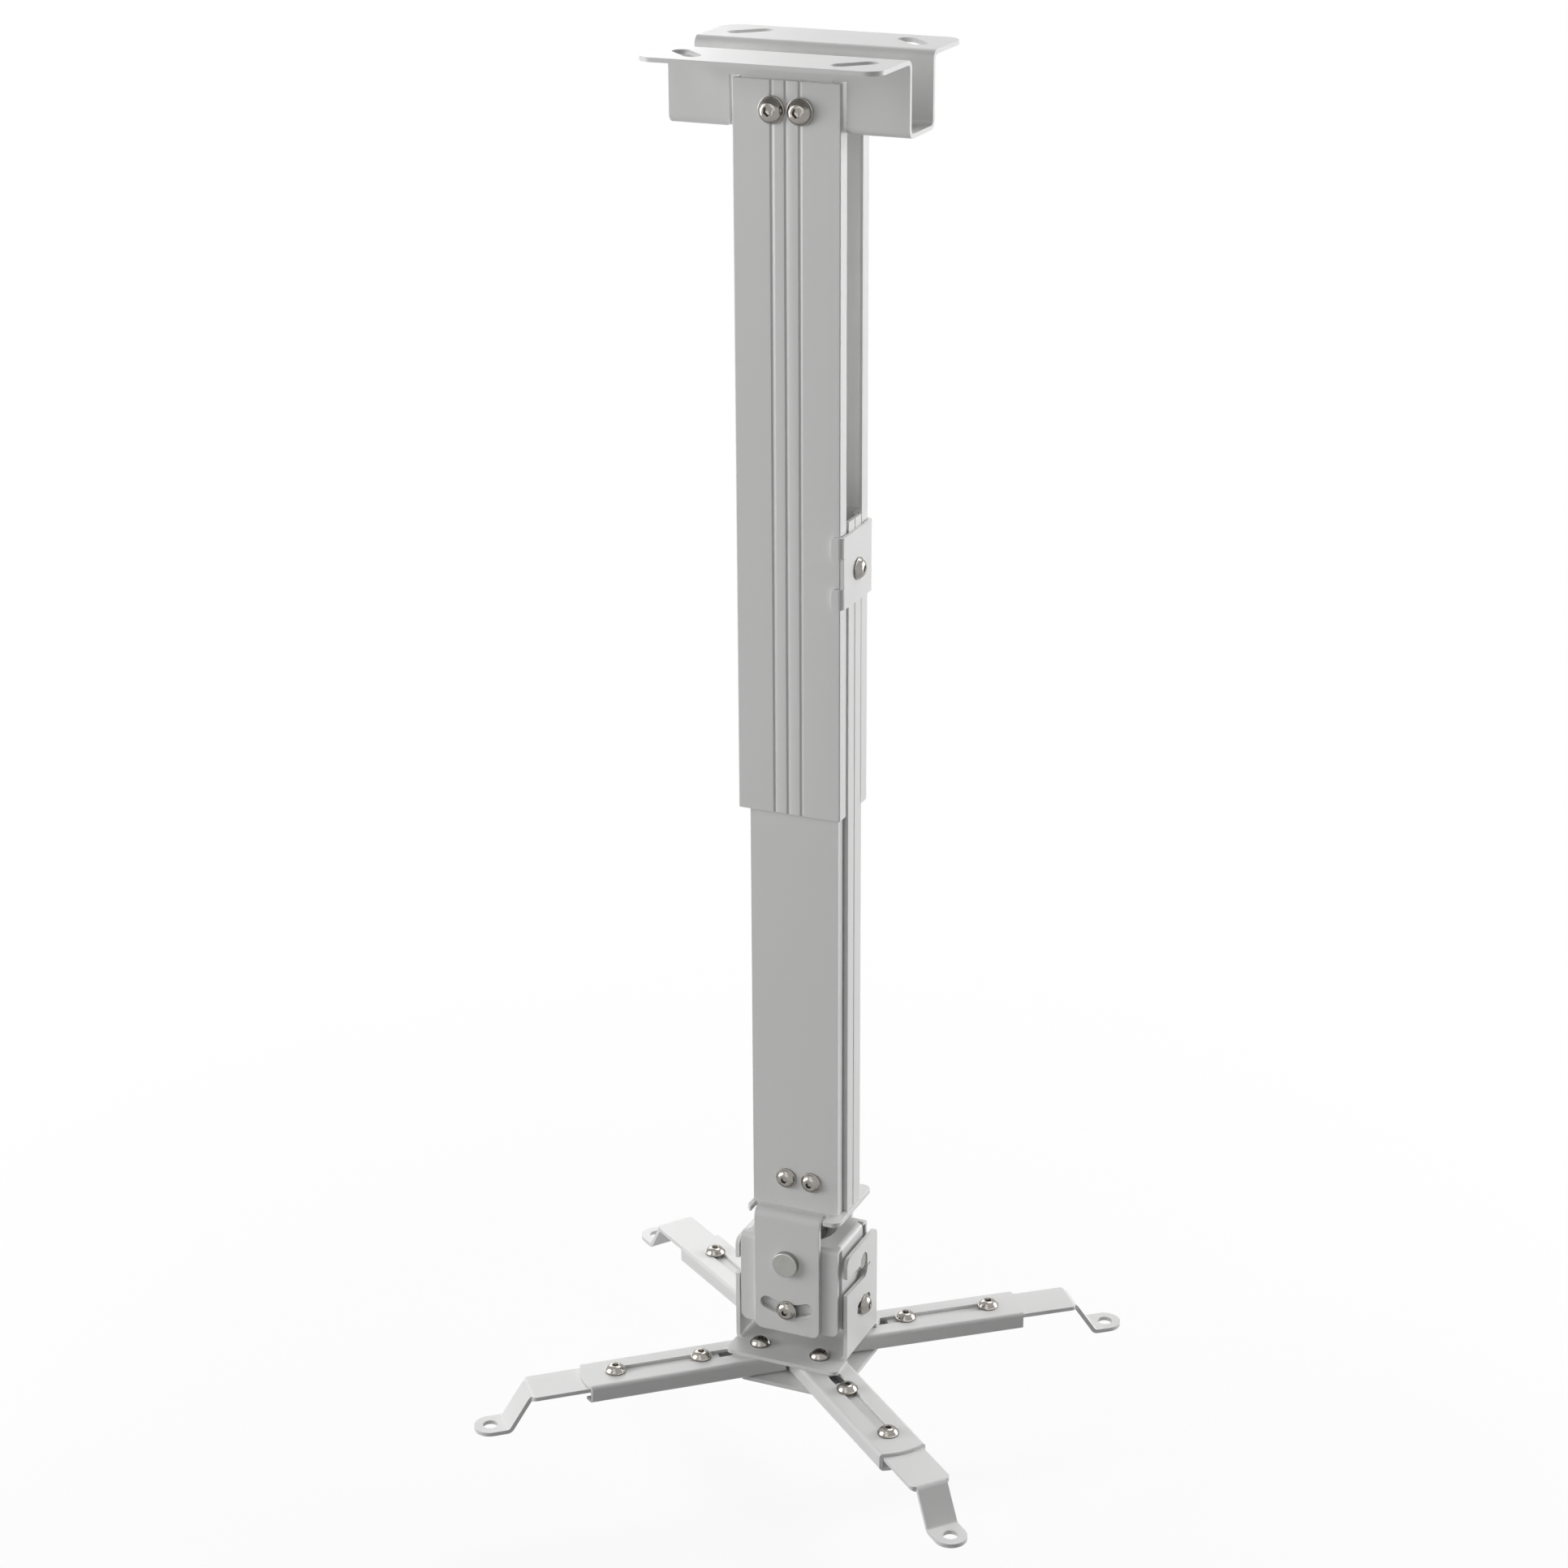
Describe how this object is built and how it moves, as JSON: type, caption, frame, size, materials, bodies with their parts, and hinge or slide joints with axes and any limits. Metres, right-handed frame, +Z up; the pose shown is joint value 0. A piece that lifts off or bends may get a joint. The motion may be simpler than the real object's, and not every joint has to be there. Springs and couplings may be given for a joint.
{
  "type": "projector ceiling mount",
  "caption": "Telescopic ceiling mount with a channel bracket, a sliding mast, a tilting and swivelling head and splayed arms with sliding feet for a projector.",
  "frame": {"origin": "centre of the ceiling face, between the bracket's four slots", "axes": "+Z up into the ceiling, so the mast hangs towards -Z; +X along the bracket to the right, towards the mast's clip; +Y to the back"},
  "size_m": [0.2644, 0.2262, 0.65],
  "materials": {
    "coated_aluminium": "white powder coat on an aluminium extrusion, satin",
    "nickel_screws": "bright nickel plate",
    "white_coat": "white powder coat on folded steel sheet, satin",
    "zinc_steel": "dull zinc plate"
  },
  "bodies": {
    "ceiling": {"ceiling_bracket": "white_coat", "outer_mast_front": "coated_aluminium", "outer_mast_back": "coated_aluminium", "mast_bolts_front": "nickel_screws", "mast_bolts_back": "nickel_screws", "mast_nuts_front": "nickel_screws", "mast_nuts_back": "nickel_screws"},
    "mast": {"inner_mast": "coated_aluminium", "mast_clip": "white_coat", "clip_screw": "nickel_screws", "clip_nut": "nickel_screws", "end_bracket": "white_coat", "end_bolts_front": "nickel_screws", "end_bolts_back": "nickel_screws", "end_nuts_front": "nickel_screws", "end_nuts_back": "nickel_screws", "swivel_stud": "zinc_steel", "swivel_nut": "zinc_steel"},
    "yoke": {"yoke": "white_coat"},
    "cradle": {"cradle": "white_coat", "roll_rivets": "zinc_steel", "roll_bolts": "nickel_screws", "roll_nuts": "nickel_screws", "hook_pins": "zinc_steel", "pitch_bolts": "nickel_screws", "pitch_nuts": "nickel_screws"},
    "hook": {"hook_bracket": "white_coat", "clamp_plate": "white_coat", "pivot_bolts": "nickel_screws", "pivot_nuts": "nickel_screws"},
    "arm_front_left": {"arm_front_left": "white_coat"},
    "foot_front_left": {"foot_front_left": "white_coat", "foot_screws_front_left": "nickel_screws", "foot_nuts_front_left": "nickel_screws"},
    "arm_front_right": {"arm_front_right": "white_coat"},
    "foot_front_right": {"foot_front_right": "white_coat", "foot_screws_front_right": "nickel_screws", "foot_nuts_front_right": "nickel_screws"},
    "arm_back_right": {"arm_back_right": "white_coat"},
    "foot_back_right": {"foot_back_right": "white_coat", "foot_screws_back_right": "nickel_screws", "foot_nuts_back_right": "nickel_screws"},
    "arm_back_left": {"arm_back_left": "white_coat"},
    "foot_back_left": {"foot_back_left": "white_coat", "foot_screws_back_left": "nickel_screws", "foot_nuts_back_left": "nickel_screws"}
  },
  "joints": [
    {"name": "mast_slide", "type": "slide", "parent": "ceiling", "child": "mast", "axis": [0, 0, 1], "range_m": [0, 0.17]},
    {"name": "swivel", "type": "hinge", "parent": "mast", "child": "yoke", "pos_m": [0, 0, -0.551], "axis": [0, 0, 1], "range_deg": [-180, 180]},
    {"name": "roll", "type": "hinge", "parent": "yoke", "child": "cradle", "pos_m": [0, 0, -0.5775], "axis": [0, 1, 0], "range_deg": [-15, 15]},
    {"name": "pitch", "type": "hinge", "parent": "cradle", "child": "hook", "pos_m": [0, 0.0052, -0.5835], "axis": [1, 0, 0], "range_deg": [-12, 12]},
    {"name": "swing_front_left", "type": "hinge", "parent": "hook", "child": "arm_front_left", "pos_m": [-0.0158, -0.0177, -0.6296], "axis": [0, 0, 1], "range_deg": [-40, 40]},
    {"name": "reach_front_left", "type": "slide", "parent": "arm_front_left", "child": "foot_front_left", "axis": [-0.7576, -0.6528, 0], "range_m": [-0.008, 0]},
    {"name": "swing_front_right", "type": "hinge", "parent": "hook", "child": "arm_front_right", "pos_m": [0.0158, -0.0177, -0.6296], "axis": [0, 0, 1], "range_deg": [-40, 40]},
    {"name": "reach_front_right", "type": "slide", "parent": "arm_front_right", "child": "foot_front_right", "axis": [0.7531, -0.6579, 0], "range_m": [-0.008, 0]},
    {"name": "swing_back_right", "type": "hinge", "parent": "hook", "child": "arm_back_right", "pos_m": [0.0158, 0.0177, -0.6296], "axis": [0, 0, 1], "range_deg": [-40, 40]},
    {"name": "reach_back_right", "type": "slide", "parent": "arm_back_right", "child": "foot_back_right", "axis": [0.7774, 0.629, 0], "range_m": [-0.008, 0]},
    {"name": "swing_back_left", "type": "hinge", "parent": "hook", "child": "arm_back_left", "pos_m": [-0.0158, 0.0177, -0.6296], "axis": [0, 0, 1], "range_deg": [-40, 40]},
    {"name": "reach_back_left", "type": "slide", "parent": "arm_back_left", "child": "foot_back_left", "axis": [-0.8181, 0.575, 0], "range_m": [-0.008, 0]}
  ]
}
